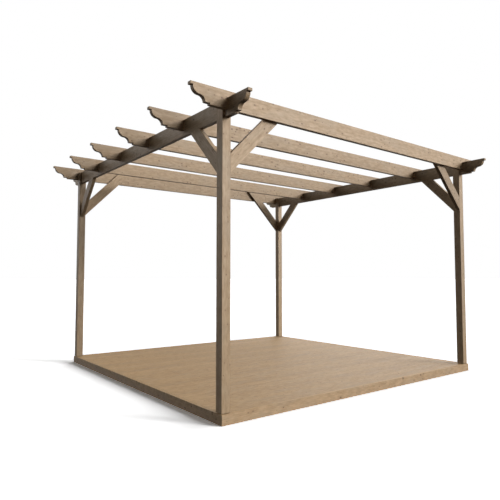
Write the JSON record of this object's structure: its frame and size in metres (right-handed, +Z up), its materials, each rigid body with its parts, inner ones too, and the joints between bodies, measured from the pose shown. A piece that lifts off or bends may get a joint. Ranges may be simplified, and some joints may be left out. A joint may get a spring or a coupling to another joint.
{
  "type": "wooden pergola with deck",
  "caption": "Free-standing square pergola of planed softwood on a low boarded deck: forked posts carry slotted beams and rafters with scrolled ends, stiffened by diagonal braces.",
  "frame": {"origin": "middle of the deck's footprint at ground level", "axes": "+X along the rafters, to the right as seen from the front; +Y along the beams, from front to back; +Z up"},
  "size_m": [3.954, 3.814, 2.423],
  "materials": {
    "frame_wood": "planed, matt, light brown preservative",
    "deck_wood": "planed, matt, light brown preservative",
    "joist_wood": "sawn, matt"
  },
  "bodies": {
    "root": {"deck_surface": "deck_wood", "fascia_front": "deck_wood", "fascia_back": "deck_wood", "fascia_left": "deck_wood", "fascia_right": "deck_wood", "joist_1": "joist_wood", "joist_2": "joist_wood", "joist_3": "joist_wood", "joist_4": "joist_wood", "joist_5": "joist_wood", "joist_6": "joist_wood", "joist_7": "joist_wood", "joist_8": "joist_wood", "post_front_left": "frame_wood", "post_front_right": "frame_wood", "post_back_left": "frame_wood", "post_back_right": "frame_wood", "beam_left": "frame_wood", "beam_right": "frame_wood", "rafter_1": "frame_wood", "rafter_2": "frame_wood", "rafter_3": "frame_wood", "rafter_4": "frame_wood", "rafter_5": "frame_wood", "rafter_6": "frame_wood", "beam_brace_front_left": "frame_wood", "beam_brace_front_right": "frame_wood", "beam_brace_back_left": "frame_wood", "beam_brace_back_right": "frame_wood", "rafter_brace_front_left": "frame_wood", "rafter_brace_front_right": "frame_wood", "rafter_brace_back_left": "frame_wood", "rafter_brace_back_right": "frame_wood"}
  },
  "joints": []
}
